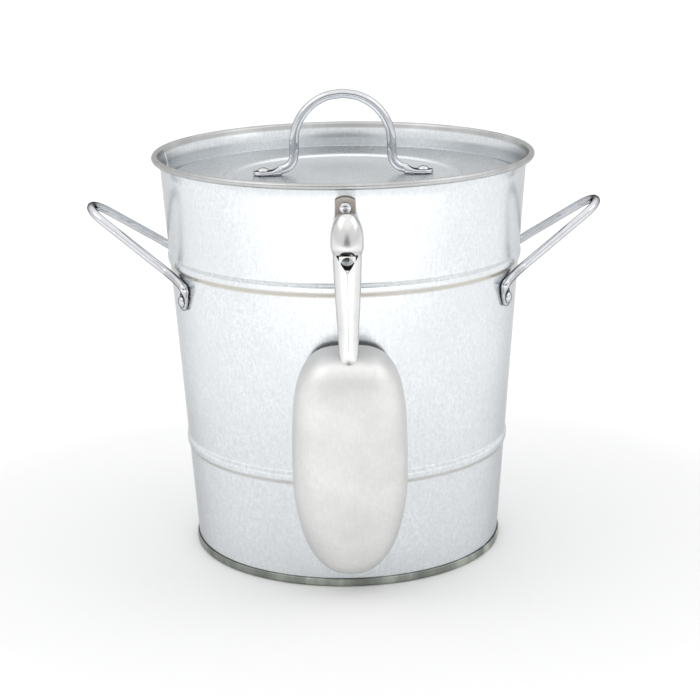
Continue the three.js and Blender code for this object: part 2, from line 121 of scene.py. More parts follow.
class PailSettings(bpy.types.PropertyGroup):
    """Sizes and colours of the bucket's walls."""

    wall_foot: length("Wall foot", 89.1, "Radius of the wall where it meets the floor")
    wall_growth: FloatProperty(
        name="Wall growth",
        description="How much the wall's radius grows with its height",
        default=0.0695,
    )
    sheet: length("Sheet", 0.6, "Thickness of the galvanized sheet")
    low_rib: length("Low rib", 64.0, "Height of the middle of the lower rib")
    high_rib: length("High rib", 173.0, "Height of the middle of the upper rib")
    rib_half: length("Rib half height", 4.2, "Half the height of a raised rib")
    rib_rise: length("Rib rise", 1.0, "How far a rib stands out of the wall")
    roll: length("Rolled rim", 1.8, "Radius of the roll at the rim")
    zinc: colour("Zinc", (0.80, 0.83, 0.85), "Colour of the galvanized sheet")
    seam: colour("Seam ring", (0.30, 0.32, 0.29), "Colour of the ring round the base")
    lining: colour("Lining", (0.70, 0.74, 0.74), "Colour of the inner bucket")


class FittingSettings(bpy.types.PropertyGroup):
    """Sizes and colours of the handles, rivets and hook."""

    side_rod: length("Side rod", 2.4, "Radius of the side handles' rod")
    lid_rod: length("Lid rod", 2.6, "Radius of the lid handle's rod")
    foot_width: length("Foot width", 8.8, "Width of a rod's flattened end")
    foot_sheet: length("Foot thickness", 2.2, "Thickness of a rod's flattened end")
    rivet_head: length("Rivet head", 3.3, "Radius of a rivet's domed head")
    chrome: colour("Chrome", (0.68, 0.69, 0.72), "Colour of the rods and rivets")
    nickel: colour("Nickel", (0.40, 0.365, 0.325), "Colour of the scoop's hook")


class ScoopSettings(bpy.types.PropertyGroup):
    """Sizes and colours of the scoop."""

    half_width: length("Half width", 31.5, "Half the width of the bowl at its rim")
    depth: length("Depth", 30.0, "Depth of the bowl")
    steel: colour("Steel", (0.80, 0.80, 0.795), "Colour of the scoop's steel")


class StudioSettings(bpy.types.PropertyGroup):
    """The floor, the lights and the lens."""

    floor: colour("Floor", (0.93, 0.93, 0.93), "Colour of the studio floor")
    sky: FloatProperty(name="Sky", description="Brightness of the soft box above", default=1.14)
    lens: FloatProperty(name="Lens", description="Focal length in millimetres", default=99.06)
    facets: IntProperty(name="Facets", description="Sides of each turned piece", default=192)


class BucketSettings(bpy.types.PropertyGroup):
    """All the settings of the ice bucket."""

    pail: PointerProperty(type=PailSettings)
    fittings: PointerProperty(type=FittingSettings)
    scoop: PointerProperty(type=ScoopSettings)
    studio: PointerProperty(type=StudioSettings)


def settings():
    return bpy.context.scene.ice_bucket


# ---- Curves and outlines ----


def smooth(value):
    value = min(1.0, max(0.0, value))
    return value * value * (3 - 2 * value)


def arc(centre, radius, start, end, steps):
    """Points on an arc; the angles are in degrees."""
    points = []
    for i in range(steps + 1):
        angle = math.radians(start + (end - start) * i / steps)
        points.append(
            (centre[0] + radius * math.cos(angle), centre[1] + radius * math.sin(angle))
        )
    return points


def softened(outline, radius, closed=True, steps=3):
    """A closed outline with each real corner rounded off."""
    count = len(outline)
    result = []
    for i, corner in enumerate(outline):
        if not closed and i in (0, count - 1):
            result.append(tuple(corner))
            continue
        here = Vector(corner)
        before = Vector(outline[i - 1]) - here
        after = Vector(outline[(i + 1) % count]) - here
        if before.angle(after) > math.radians(168):
            result.append(tuple(corner))
            continue
        reach = min(radius, 0.45 * before.length, 0.45 * after.length)
        start = here + before.normalized() * reach
        end = here + after.normalized() * reach
        for k in range(steps + 1):
            t = k / steps
            point = start * (1 - t) ** 2 + here * (2 * t * (1 - t)) + end * t * t
            result.append(tuple(point))
    return result


def threaded(points, steps):
    """A smooth curve through 3-D points, as points at about equal steps."""
    dense = []
    count = len(points)
    for i in range(count - 1):
        p = [points[max(i - 1, 0)], points[i], points[i + 1], points[min(i + 2, count - 1)]]
        knots = [0.0]
        for a, b in zip(p, p[1:]):
            knots.append(knots[-1] + max((b - a).length, 1e-6) ** 0.5)
        for k in range(24):
            t = knots[1] + (knots[2] - knots[1]) * k / 24
            level = p
            for width in (1, 2, 3):
                level = [
                    blend_at(level[j], level[j + 1], knots[j], knots[j + width], t)
                    for j in range(len(level) - 1)
                ]
            dense.append(level[0])
    dense.append(points[-1])
    total = sum((b - a).length for a, b in zip(dense, dense[1:]))
    result, walked, goal = [dense[0]], 0.0, total / steps
    for a, b in zip(dense, dense[1:]):
        piece = (b - a).length
        while piece > 1e-9 and walked + piece >= goal * len(result) - 1e-9:
            share = (goal * len(result) - walked) / piece
            result.append(a.lerp(b, min(share, 1.0)))
        walked += piece
    return result[: steps + 1]


def blend_at(a, b, start, end, t):
    if end - start < 1e-9:
        return a
    return a.lerp(b, (t - start) / (end - start))


# ---- Meshes ----


def piece_from(name, points, faces, place=None, sharp=35):
    """A mesh object from points in millimetres, with its normals outward."""
    mesh = bpy.data.meshes.new(name)
    place = place or Matrix.Identity(4)
    mesh.from_pydata([tuple((place @ Vector(p)) * MM) for p in points], [], faces)
    shell = bmesh.new()
    shell.from_mesh(mesh)
    bmesh.ops.remove_doubles(shell, verts=shell.verts, dist=1e-7)
    bmesh.ops.recalc_face_normals(shell, faces=shell.faces)
    shell.to_mesh(mesh)
    shell.free()
    mesh.shade_smooth()
    mesh.set_sharp_from_angle(angle=math.radians(sharp))
    piece = bpy.data.objects.new(name, mesh)
    bpy.context.scene.collection.objects.link(piece)
    return piece


def bands(rows):
    """Faces between neighbouring closed rows of point numbers; a row may repeat one point."""
    faces = []
    for low, high in zip(rows, rows[1:]):
        for k in range(len(low)):
            after = (k + 1) % len(low)
            face = list(dict.fromkeys((low[k], low[after], high[after], high[k])))
            if len(face) > 2:
                faces.append(face)
    return faces


def numbered(total, count):
    """Point numbers of equally long rows, one after another."""
    return [range(r * count, (r + 1) * count) for r in range(total)]


def turned(name, outline, facets=None, open_axis=False, place=None, shift=None, angles=None):
    """A piece turned about Z from a closed outline of (radius, height)."""
    facets = facets or settings().studio.facets
    angles = angles or [TURN * k / facets for k in range(facets)]
    points, rows = [], []
    for radius, height in outline:
        rows.append([])
        if radius < 1e-6:
            rows[-1] = [len(points)] * len(angles)
            points.append((0, 0, height))
            continue
        for angle in angles:
            real = radius + (shift(angle, radius, height) if shift else 0)
            rows[-1].append(len(points))
            points.append((real * math.cos(angle), real * math.sin(angle), height))
    if not open_axis:
        rows.append(rows[0])
    return piece_from(name, points, bands(rows), place)


def lofted(name, rings, place=None, sharp=35):
    """A closed piece from rings of equally many points, with a fan at each end."""
    points = [point for ring in rings for point in ring]
    count = len(rings[0])
    rows = numbered(len(rings), count)
    faces = bands(rows)
    for ring, row in ((rings[0], rows[0]), (rings[-1], rows[-1])):
        middle = sum((Vector(p) for p in ring), Vector()) / count
        points.append(tuple(middle))
        for k in range(count):
            faces.append((row[k], row[(k + 1) % count], len(points) - 1))
    return piece_from(name, points, faces, place, sharp)


def placed(x_axis, y_axis, z_axis, origin):
    """A placement from its three axes and its origin."""
    place = Matrix((x_axis, y_axis, z_axis)).transposed().to_4x4()
    place.translation = origin
    return place


def finished(piece, material, body, slot, *nodes):
    """Gives a piece its metal and its body, and hides the frame nodes that it stands for."""
    piece.data.materials.clear()
    piece.data.materials.append(material)
    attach(piece, body)
    if nodes:
        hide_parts(*nodes)
    return piece


# ---- Metals ----


class Nodes:
    """A node tree under construction."""

    def __init__(self, tree):
        self.tree = tree

    def node(self, kind, **inputs):
        made = self.tree.nodes.new(kind)
        for name, value in inputs.items():
            self.put(made.inputs[name.replace("_", " ")], value)
        return made

    def put(self, socket, value):
        if isinstance(value, bpy.types.NodeSocket):
            self.tree.links.new(value, socket)
        else:
            socket.default_value = value

    def ramp(self, value, *stops):
        made = self.node("ShaderNodeValToRGB", Fac=value)
        bar = made.color_ramp
        while len(bar.elements) < len(stops):
            bar.elements.new(0.5)
        for element, (at, tone) in zip(bar.elements, stops):
            element.position = at
            element.color = tone if isinstance(tone, tuple) else (tone, tone, tone, 1.0)
        return made.outputs["Color"]

    def range(self, value, low, high, new_low=0.0, new_high=1.0):
        made = self.node("ShaderNodeMapRange", Value=value, From_Min=low, From_Max=high)
        self.put(made.inputs["To Min"], new_low)
        self.put(made.inputs["To Max"], new_high)
        return made.outputs["Result"]

    def maths(self, operation, first, second):
        made = self.node("ShaderNodeMath")
        made.operation = operation
        self.put(made.inputs[0], first)
        self.put(made.inputs[1], second)
        return made.outputs[0]

    def mixed(self, share, first, second, way="MIX"):
        made = self.node("ShaderNodeMix")
        made.data_type = "RGBA"
        made.blend_type = way
        self.put(made.inputs["Factor"], share)
        for name, value in (("A", first), ("B", second)):
            socket = [s for s in made.inputs if s.name == name and s.type == "RGBA"][0]
            self.put(socket, value)
        return [s for s in made.outputs if s.type == "RGBA"][0]


class Recipe(Nodes):
    """A node material under construction, with its principled shader."""

    def __init__(self, name, metallic, roughness, edge=1.0):
        self.material = bpy.data.materials.new(name)
        self.material.use_nodes = True
        super().__init__(self.material.node_tree)
        self.shader = self.tree.nodes["Principled BSDF"]
        self.shader.inputs["Metallic"].default_value = metallic
        self.shader.inputs["Roughness"].default_value = roughness
        self.shader.inputs["Specular Tint"].default_value = (edge, edge, edge, 1.0)
        self.place = self.node("ShaderNodeTexCoord").outputs["Object"]
        self.height = self.node("ShaderNodeSeparateXYZ", Vector=self.place).outputs["Z"]

    def stretched(self, scale):
        return self.node("ShaderNodeMapping", Vector=self.place, Scale=scale).outputs["Vector"]

    def noise(self, scale, detail=3.0, where=None, roughness=0.55):
        made = self.node("ShaderNodeTexNoise", Vector=where or self.place, Scale=scale)
        self.put(made.inputs["Detail"], detail)
        self.put(made.inputs["Roughness"], roughness)
        return made.outputs["Fac"]

    def bump(self, height, strength, distance):
        made = self.node("ShaderNodeBump", Height=height, Strength=strength, Distance=distance)
        self.put(self.shader.inputs["Normal"], made.outputs["Normal"])

    def done(self, base=None, roughness=None):
        if base is not None:
            self.put(self.shader.inputs["Base Color"], base)
        if roughness is not None:
            self.put(self.shader.inputs["Roughness"], roughness)
        return self.material


metals = {}


def shade(base, factor, tint=(1.0, 1.0, 1.0)):
    """A colour made darker or paler, with an alpha of one."""
    return tuple(min(1.0, part * factor * t) for part, t in zip(base, tint)) + (1.0,)


def galvanized(name, base, roughness, grain=1.0, darkened_bands=()):
    """Zinc-coated sheet: fine drawn grain, small spangle and faint pale blotches.

    The bands list heights in millimetres where the sheet is painted darker: start, full, end
    of full, end, strength and tint. At the ribs this is painted shade.
    """
    recipe = Recipe(name, 0.94, roughness, 0.62)
    spangle = recipe.noise(600.0, 5.0, None, 0.75)
    drawn = recipe.noise(900.0, 3.0, recipe.stretched((1.0, 1.0, 0.3)), 0.7)
    blotches = recipe.noise(24.0, 4.0)
    tone = recipe.mixed(
        recipe.range(blotches, 0.35, 0.65),
        shade(base, 0.98),
        shade(base, 1.06, (1.0, 1.0, 1.01)),
    )
    tone = recipe.mixed(
        recipe.range(spangle, 0.40, 0.62, 0.0, grain), tone, shade(base, 0.89)
    )
    tone = recipe.mixed(recipe.range(drawn, 0.48, 0.66, 0.0, grain), tone, shade(base, 0.87))
    patches = recipe.noise(55.0, 3.0)
    # Each band paints the sheet darker between two heights, broken up by patches; at the ribs it is
    # painted shade.
    for start, full, full_end, end, strength, tint in darkened_bands:
        rise = recipe.range(recipe.height, start * MM, full * MM, 0.0, strength)
        fall = recipe.range(recipe.height, full_end * MM, end * MM, 1.0, 0.0)
        band = recipe.maths("MULTIPLY", rise, fall)
        band = recipe.maths("MULTIPLY", band, recipe.range(patches, 0.3, 0.6, 0.65, 1.0))
        tone = recipe.mixed(band, tone, (*tint, 1.0))
    rough = recipe.maths(
        "ADD",
        recipe.range(spangle, 0.35, 0.65, roughness - 0.02, roughness + 0.03),
        recipe.range(blotches, 0.3, 0.7, -0.02, 0.03),
    )
    recipe.bump(recipe.noise(14.0, 2.0), 0.15, 0.0006)
    return recipe.done(tone, rough)


def seam_steel(base):
    """The dull ring round the base: dark, streaked and a little rubbed."""
    recipe = Recipe("seam_steel", 0.85, 0.42)
    streaks = recipe.noise(60.0, 5.0, recipe.stretched((1.0, 1.0, 0.25)))
    tone = recipe.ramp(
        streaks,
        (0.30, shade(base, 0.62)),
        (0.52, shade(base, 1.0)),
        (0.72, shade(base, 1.9, (1.0, 1.0, 0.96))),
    )
    rough = recipe.range(streaks, 0.3, 0.7, 0.5, 0.34)
    recipe.bump(recipe.noise(420.0, 2.0), 0.2, 0.0003)
    return recipe.done(tone, rough)


def bright_plate(name, base, low, high, edge):
    """Bright plating: nearly a mirror, with faint haze and a soft unevenness."""
    recipe = Recipe(name, 1.0, low, edge)
    haze = recipe.noise(120.0, 4.0)
    cloud = recipe.range(haze, 0.4, 0.75)
    tone = recipe.mixed(cloud, shade(base, 1.0), shade(base, 0.9))
    rough = recipe.range(haze, 0.35, 0.75, low, high)
    recipe.bump(recipe.noise(90.0, 1.0), 0.15, 0.00012)
    return recipe.done(tone, rough)


def brushed(name, base, low, high, stretch, grain):
    """Satin metal: fine lines along the sheet over soft clouds."""
    recipe = Recipe(name, 0.97, low, 0.7)
    lines = recipe.noise(grain, 3.0, recipe.stretched(stretch), 0.7)
    clouds = recipe.noise(38.0, 3.0)
    tone = recipe.mixed(
        recipe.range(clouds, 0.35, 0.7),
        shade(base, 1.03, (1.0, 0.995, 0.99)),
        shade(base, 0.92),
    )
    tone = recipe.mixed(recipe.range(lines, 0.4, 0.7, 0.0, 0.3), tone, shade(base, 0.84))
    rough = recipe.maths(
        "ADD",
        recipe.range(lines, 0.3, 0.7, low, high),
        recipe.range(clouds, 0.35, 0.7, -0.03, 0.05),
    )
    recipe.bump(lines, 0.06, 0.0001)
    return recipe.done(tone, rough)


def foam_material():
    """Rigid foam: pale, matt and full of small cells."""
    recipe = Recipe("foam", 0.0, 0.95)
    cells = recipe.noise(900.0, 3.0)
    tone = recipe.mixed(cells, (0.80, 0.77, 0.68, 1.0), (0.90, 0.88, 0.80, 1.0))
    recipe.bump(cells, 0.5, 0.0004)
    return recipe.done(tone)


def mix_metals():
    pail, fittings, scoop = settings().pail, settings().fittings, settings().scoop
    darkened_bands = (
        # A dark grey band high on the wall, just under the rolled rim.
        (227.8, 228.8, 234.0, 235.0, 0.9, (0.45, 0.45, 0.44)),
        # Painted shade, tinted tan, on the lower-facing slope of the upper rib and of the lower
        # rib.
        (168.3, 169.3, 171.2, 172.4, 0.8, (0.62, 0.58, 0.50)),
        (59.6, 60.4, 61.8, 62.8, 0.7, (0.60, 0.58, 0.52)),
    )
    # The scoop's steel at 0.3 brightness, for painted shade inside the rolled grip.
    painted_shade_steel = shade(scoop.steel, 0.3)
    upright, slight, strip = (1.0, 1.0, 0.5), (1.0, 1.0, 0.3), (1.0, 1.0, 0.12)
    metals["wall"] = galvanized("galvanized_wall", pail.zinc, 0.22, 1.0, darkened_bands)
    # The lid's zinc is the wall's painted 6% paler, standing in for more light on the lid.
    metals["lid"] = galvanized("galvanized_lid_painted_paler", shade(pail.zinc, 1.06), 0.26, 0.7)
    metals["lining"] = galvanized("lining_sheet", pail.lining, 0.34, 0.8)
    metals["seam"] = seam_steel(pail.seam)
    metals["chrome"] = bright_plate("chrome_plate", fittings.chrome, 0.04, 0.10, 0.05)
    metals["nickel"] = brushed("nickel_strip", fittings.nickel, 0.26, 0.38, strip, 900.0)
    metals["bowl"] = brushed("scoop_satin", scoop.steel, 0.46, 0.54, upright, 700.0)
    # The grip's polish is the scoop's steel painted 10% darker: painted shade against the bright
    # floor and sky that it mirrors.
    metals["grip"] = bright_plate("scoop_polish_painted_darker", shade(scoop.steel, 0.9), 0.16, 0.25, 0.8)
    metals["inside"] = brushed("grip_inside_painted_shade", painted_shade_steel, 0.5, 0.7, slight, 500.0)
    metals["foam"] = foam_material()


# ---- Bucket ----


FLARE_FROM = 222.0
FLARE_SPAN = 16.0
LAP_FROM = 214.2
LAP_TO = 228.5


def wall_radius(height):
    pail = settings().pail
    return pail.wall_foot / MM + pail.wall_growth * height


def rib_rise(height):
    """How far the wall stands out at a height, for its two ribs."""
    pail = settings().pail
    half, rise = pail.rib_half / MM, pail.rib_rise / MM
    crest = 1.0
    total = 0.0
    for middle in (pail.low_rib / MM, pail.high_rib / MM):
        away = abs(height - middle)
        total += rise * smooth((half - away) / (half - crest))
    return total


def flare(height):
    """The wall's outward sweep under the rolled rim."""
    pail = settings().pail
    centre, roll = rim_centre(), pail.roll / MM
    sweep = centre[0] - roll + pail.sheet / MM - wall_radius(centre[1])
    return sweep * smooth((height - FLARE_FROM) / FLARE_SPAN) * 2.0


def rim_centre():
    roll = settings().pail.roll / MM
    return wall_high.x - roll, wall_high.z - roll


def build_wall():
    pail = settings().pail
    thick, roll = pail.sheet / MM, pail.roll / MM
    centre = rim_centre()
    heights = [wall_low.z, 20.0, 40.0]
    for middle in (pail.low_rib / MM, pail.high_rib / MM):
        heights += [middle - 5.0 + 0.5 * k for k in range(21)]
    heights += [90.0, 115.0, 140.0, 155.0, 190.0, 205.0, 213.8, 214.6]
    heights += [FLARE_FROM + k for k in range(7)]
    heights.sort()
    outside = [(wall_radius(h) + rib_rise(h) + flare(h), h) for h in heights]
    inside = [(radius - thick, h) for radius, h in reversed(outside)]
    under = arc(centre, roll - thick, 172, -86, 14)
    lip = arc((centre[0], centre[1] - roll + thick / 2), thick / 2, 90, -90, 4)[1:-1]
    over = arc(centre, roll, -90, 172, 18)
    outline = outside + under + lip + over + inside
    lap_at, lap_half, lap_rise = math.radians(168.0), math.radians(2.3), 0.45

    def lap(angle, radius, height):
        """The sheet's overlap, seen inside the wall above the lid."""
        inner_skin = radius <= wall_radius(height) + flare(height) - 0.3
        if not inner_skin or height < LAP_FROM or height > LAP_TO:
            return 0.0
        away = abs(angle - lap_at)
        return -lap_rise * smooth((lap_half - away) / math.radians(0.18) + 1)

    angles = [TURN * k / 240 for k in range(240)]
    for edge in (lap_at - lap_half, lap_at + lap_half):
        angles += [edge + math.radians(0.06 * k) for k in range(-4, 5)]
    angles = sorted(set(round(a, 6) for a in angles))
    wall = turned("wall_with_rolled_rim", outline, angles=angles, shift=lap)
    finished(wall, metals["wall"], "bucket", "galvanized", "outer_shell")
    wire = turned("rim_wire_core", arc(centre, 0.8, 0, 345, 11))
    finished(wire, metals["seam"], "bucket", "galvanized", "rim_wire")


def build_base():
    thick = 0.75
    inside = wall_radius(pan_high.z) + 0.35
    outline = [
        (0, 0.0), (40.0, 0.0), (pan_high.x - 0.9, 0.0), (pan_high.x, 0.9),
        (pan_high.x, pan_high.z - 0.3), (pan_high.x - 0.3, pan_high.z),
        (inside, pan_high.z), (inside, thick), (0, thick),
    ]
    pan = turned("base_with_seam_ring", softened(outline, 0.35, False), open_axis=True)
    finished(pan, metals["seam"], "bucket", "seam", "base_pan")


def build_lining():
    pail = settings().pail
    thick = pail.sheet / MM
    slope = pail.wall_growth
    low, high = liner_low.z, liner_high.z
    flange = liner_high.x
    foam = 9.0
    foot = wall_radius(low) - thick - foam
    head = foot + slope * (high - low)
    outline = [
        (foot - 5, low), (foot, low), (head - 0.1, high - thick), (flange, high - thick),
        (flange, high), (head - thick - 0.1, high), (foot - thick, low + thick),
        (foot - 5, low + thick),
    ]
    liner = turned("lining_with_flange", softened(outline, 0.9))
    finished(liner, metals["lining"], "bucket", "liner", "inner_liner")
    edge = floor_high.x
    rise = floor_low.z
    disc = [(0, rise), (edge - 0.3, rise), (edge, rise + 0.3), (edge - 0.3, floor_high.z)]
    disc += [(edge - 8.0, floor_high.z), (0, floor_high.z)]
    floor = turned("lining_floor", softened(disc, 0.2, False), open_axis=True)
    finished(floor, metals["lining"], "bucket", "liner", "liner_floor")


# ---- Rivets ----


FIT = 0.3
SUNK = 0.25
FOOT_TAIL = (2.8, 0.9)
LID_SHEET = 0.7
LID_RIVET_ACROSS = 46.0
WASHER_SHEET = 0.7
WASHER_HOLE = 2.05
WASHER_EDGE = 4.2
WALL_RIVET_HEIGHT = 154.5
WALL_RIVET_ANGLE = math.radians(26.25)
FRAME_WALL_SIDES = 48
FOOT_SPLAY = math.radians(33)


def rivet(name, place, head_at, depth, tail_radius, tail_sheet):
    """A tail, a shank and a domed head; heights run outward along the rivet's axis."""
    head = settings().fittings.rivet_head / MM
    dome = 1.9
    shank = 1.7
    tail_top = head_at - depth
    tail_end = tail_top - tail_sheet
    outline = [
        (0, tail_end), (tail_radius - 0.25, tail_end), (tail_radius, tail_end + 0.25),
        (tail_radius, tail_top), (shank, tail_top), (shank, head_at),
        (head - 0.15, head_at),
    ]
    for k in range(1, 13):
        angle = math.radians(90 * k / 12)
        outline.append((head * math.cos(angle), head_at + dome * math.sin(angle)))
    outline[-1] = (0, head_at + dome)
    return turned(name, outline, 40, open_axis=True, place=place)


def washer(name, place, top):
    low = top - WASHER_SHEET
    outline = [(WASHER_HOLE, low), (WASHER_EDGE, low), (WASHER_EDGE, top), (WASHER_HOLE, top)]
    return turned(name, softened(outline, 0.2), 40, place=place)


def wall_place(side, end):
    """Where a handle's rivet meets the wall: +Z out of the wall, +Y up along it."""
    angle = end * WALL_RIVET_ANGLE if side > 0 else math.pi - end * WALL_RIVET_ANGLE
    flat = math.cos(math.pi / FRAME_WALL_SIDES)
    radius = wall_radius(WALL_RIVET_HEIGHT) * flat
    out = Vector((math.cos(angle), math.sin(angle), -settings().pail.wall_growth)).normalized()
    across = Vector((-math.sin(angle), math.cos(angle), 0))
    up = out.cross(across)
    origin = (radius * math.cos(angle), radius * math.sin(angle), WALL_RIVET_HEIGHT)
    return placed(across, up, out, origin)


def build_rivets():
    foot_face = 2 * FIT + settings().fittings.foot_sheet / MM
    sheet = settings().pail.sheet / MM
    for side_name, side in (("left", -1), ("right", 1)):
        for end_name, end in (("front", -1), ("rear", 1)):
            place = wall_place(side, end)
            depth = foot_face + sheet + 2 * FIT + WASHER_SHEET
            key = f"{side_name}_{end_name}"
            head = rivet(f"wall_rivet_{key}", place, foot_face - SUNK, depth - SUNK, *FOOT_TAIL)
            finished(head, metals["chrome"], "bucket", "chrome", f"side_rivet_{key}")
            backing = washer(f"wall_washer_{key}", place, -sheet - FIT)
            finished(backing, metals["nickel"], "bucket", "nickel", f"side_washer_{key}")
        place = Matrix.Translation((side * LID_RIVET_ACROSS, 0, lid_face))
        depth = foot_face + LID_SHEET + FIT + WASHER_SHEET + FIT
        name = f"lid_rivet_head_{side_name}"
        head = rivet(name, place, foot_face - SUNK, depth - SUNK, *FOOT_TAIL)
        finished(head, metals["chrome"], "lid", "chrome", f"lid_rivet_{side_name}")
        backing = washer(f"lid_washer_plate_{side_name}", place, -LID_SHEET - FIT)
        finished(backing, metals["nickel"], "lid", "nickel", f"lid_washer_{side_name}")


# ---- Rod handles ----

FOOT_TIP = 1.2
FOOT_FLAT = 3.2
FOOT_ROUND = 13.5
RING = 28


def section(centre, across, out, half, thick, squareness):
    """One ring of a rod: an ellipse that grows squarer where the rod is flattened."""
    ring = []
    for k in range(RING):
        angle = TURN * k / RING
        c, s = math.cos(angle), math.sin(angle)
        x = half * math.copysign(abs(c) ** (2 / squareness), c)
        y = thick * math.copysign(abs(s) ** (2 / squareness), s)
        ring.append(tuple(centre + across * x + out * y))
    return ring


def half_rod(path, out, radius, mirror):
    """Rings from a flattened foot's tip to the middle of a handle, then mirrored beyond it."""
    fittings = settings().fittings
    half, thick = fittings.foot_width / MM / 2, fittings.foot_sheet / MM / 2
    rings = []
    walked = -FOOT_TIP - half
    for i, centre in enumerate(path):
        before, after = path[max(i - 1, 0)], path[min(i + 1, len(path) - 1)]
        along = (after - before).normalized()
        if i:
            walked += (centre - path[i - 1]).length
        out = (out - along * out.dot(along)).normalized()
        across = along.cross(out)
        change = smooth((walked - FOOT_FLAT) / (FOOT_ROUND - FOOT_FLAT))
        wide = half + (radius - half) * change
        deep = thick + (radius - thick) * smooth(change * 1.15)
        into = (walked + FOOT_TIP + half) / half
        edge = 1.0
        if into < 1:
            edge = math.sqrt(max(0.0, 1 - (1 - into) ** 2))
        if i == 0:
            edge = 0.12
        square = 4 - 2 * change
        rings.append(
            section(centre, across, out, wide * edge, deep * min(1, 0.72 + edge), square)
        )
    return rings + [
        [(x * mirror[0], y * mirror[1], z) for x, y, z in ring] for ring in reversed(rings[:-1])
    ]


def foot_points(place, turn, radius):
    """Middles of a flattened foot and the rod's start, from the tip inward."""
    thick = settings().fittings.foot_sheet / MM / 2
    half = settings().fittings.foot_width / MM / 2
    local = place @ Matrix.Rotation(turn, 4, "Z")
    stations = [(-FOOT_TIP - half, thick), (-2.0, thick), (3.0, thick)]
    stations += [(6.5, thick + 0.35 * (radius - thick)), (10.5, radius)]
    return [local @ Vector((0, along, FIT + up)) for along, up in stations]


def spaced(points):
    """The curve's points, closer together over its first part, the foot."""
    rough = threaded(points, 60)
    total = sum((b - a).length for a, b in zip(rough, rough[1:]))
    fine = threaded(points, 400)
    result = [fine[0]]
    goals = [0.04, 0.12, 0.3, 0.6, 1.0, 1.5, 2.1, 2.8, 3.5, 4.4]
    goals += [4.4 + 0.6 * k for k in range(1, 24)]
    while goals[-1] < total - 1.6:
        goals.append(goals[-1] + 1.3)
    walked, at = 0.0, 0
    for a, b in zip(fine, fine[1:]):
        piece = (b - a).length
        while at < len(goals) and walked + piece >= goals[at]:
            result.append(a.lerp(b, (goals[at] - walked) / piece))
            at += 1
        walked += piece
    result.append(fine[-1])
    return result


def build_side_handles():
    radius = settings().fittings.side_rod / MM
    rise, splay = math.radians(35.5), math.radians(20.5)
    tip_radius, leg = 16.0, 48.0
    tip = Vector((145.6, 0, 200.6))
    out = Vector((math.cos(rise), 0, math.sin(rise)))
    across = Vector((0, 1, 0))
    centre = tip - out * tip_radius
    turn_end = math.pi / 2 - splay

    def on_tip(angle):
        sideways = across * (tip_radius * math.sin(angle))
        return centre + out * (tip_radius * math.cos(angle)) + sideways

    start = on_tip(-turn_end)
    leg_end = start - out * (leg * math.cos(splay)) - across * (leg * math.sin(splay))
    points = foot_points(wall_place(1, -1), FOOT_SPLAY, radius)
    points.append(leg_end)
    points += [leg_end.lerp(start, k / 4) for k in range(1, 4)]
    points += [on_tip(turn_end * (k / 6 - 1)) for k in range(7)]
    path = spaced(points)
    path[-1].y = 0.0
    normal = wall_place(1, -1).to_3x3() @ Vector((0, 0, 1))
    rings = half_rod(path, normal, radius, (1, -1))
    for name, side, node in (
        ("carrying_loop_right", 0, "side_handle_right"),
        ("carrying_loop_left", math.pi, "side_handle_left"),
    ):
        loop = lofted(name, rings, Matrix.Rotation(side, 4, "Z"), 60)
        finished(loop, metals["chrome"], "bucket", "chrome", node)


def build_lid_handle():
    radius = settings().fittings.lid_rod / MM
    arch, bend = 28.0, 9.0
    centre_height = arch_top - radius - arch
    foot_top = lid_face + FIT + radius
    place = Matrix.Translation((-LID_RIVET_ACROSS, 0, lid_face))
    points = foot_points(place, -math.pi / 2, radius)
    points.append(Vector((-arch - bend, 0, foot_top)))
    for angle in (math.radians(a) for a in (60, 30, 0)):
        x = -(arch + bend - bend * math.cos(angle))
        points.append(Vector((x, 0, foot_top + bend - bend * math.sin(angle))))
    for k in range(7):
        angle = math.pi * (1 - k / 12)
        points.append(
            Vector((arch * math.cos(angle), 0, centre_height + arch * math.sin(angle)))
        )
    path = spaced(points)
    path[-1].x = 0.0
    rings = half_rod(path, Vector((0, 0, 1)), radius, (-1, 1))
    handle = lofted("lid_arch_handle", rings, None, 60)
    finished(handle, metals["chrome"], "lid", "chrome", "lid_handle")


# ---- Lid ----


def build_lid():
    thick = LID_SHEET
    top = lid_face
    edge = lid_high.x
    bead, half, rise = 65.3, 4.2, lid_high.z - top
    steps = [bead - half + 2 * half * k / 16 for k in range(17)]

    def swell(radius):
        return rise * smooth((half - abs(radius - bead)) / (half - 1.2))

    crest = [(radius, top + swell(radius)) for radius in steps]
    skirt = edge - thick
    outline = [(0, top - thick), (30.0, top - thick)]
    outline += [(radius, height - thick) for radius, height in crest]
    outline += [
        (skirt - 0.6, top - thick), (skirt, top - thick - 0.6), (skirt, lid_low.z + thick),
        (skirt - 3, lid_low.z + thick), (skirt - 3, lid_low.z), (edge, lid_low.z),
        (edge, top - 1.1), (edge - 0.35, top - 0.35), (edge - 1.1, top),
    ]
    outline += list(reversed(crest)) + [(30.0, top), (0, top)]
    lid = turned("lid_sheet_with_bead", softened(outline, 0.3, False, 2), open_axis=True)
    finished(lid, metals["lid"], "lid", "galvanized", "lid_top")
    flange = plug_high.x
    plug = 91.5
    low, high = plug_low.z, plug_high.z
    outline = [
        (0, low), (60.0, low), (plug - 2, low), (plug, low + 2), (plug, high - thick),
        (flange, high - thick), (flange, high), (plug - thick, high),
        (plug - thick, low + 2.3), (plug - 2.3, low + thick), (60.0, low + thick),
        (0, low + thick),
    ]
    pan = turned("lid_underside_pan", softened(outline, 0.6, False), open_axis=True)
    finished(pan, metals["lining"], "lid", "galvanized", "lid_pan")


def finish_foam():
    """The hidden foam keeps the frame's own solids, and gets its foam finish."""
    for node in ("insulation_sleeve", "insulation_base", "lid_insulation"):
        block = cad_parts[node]
        block.data.materials.clear()
        block.data.materials.append(metals["foam"])


# ---- Hook ----


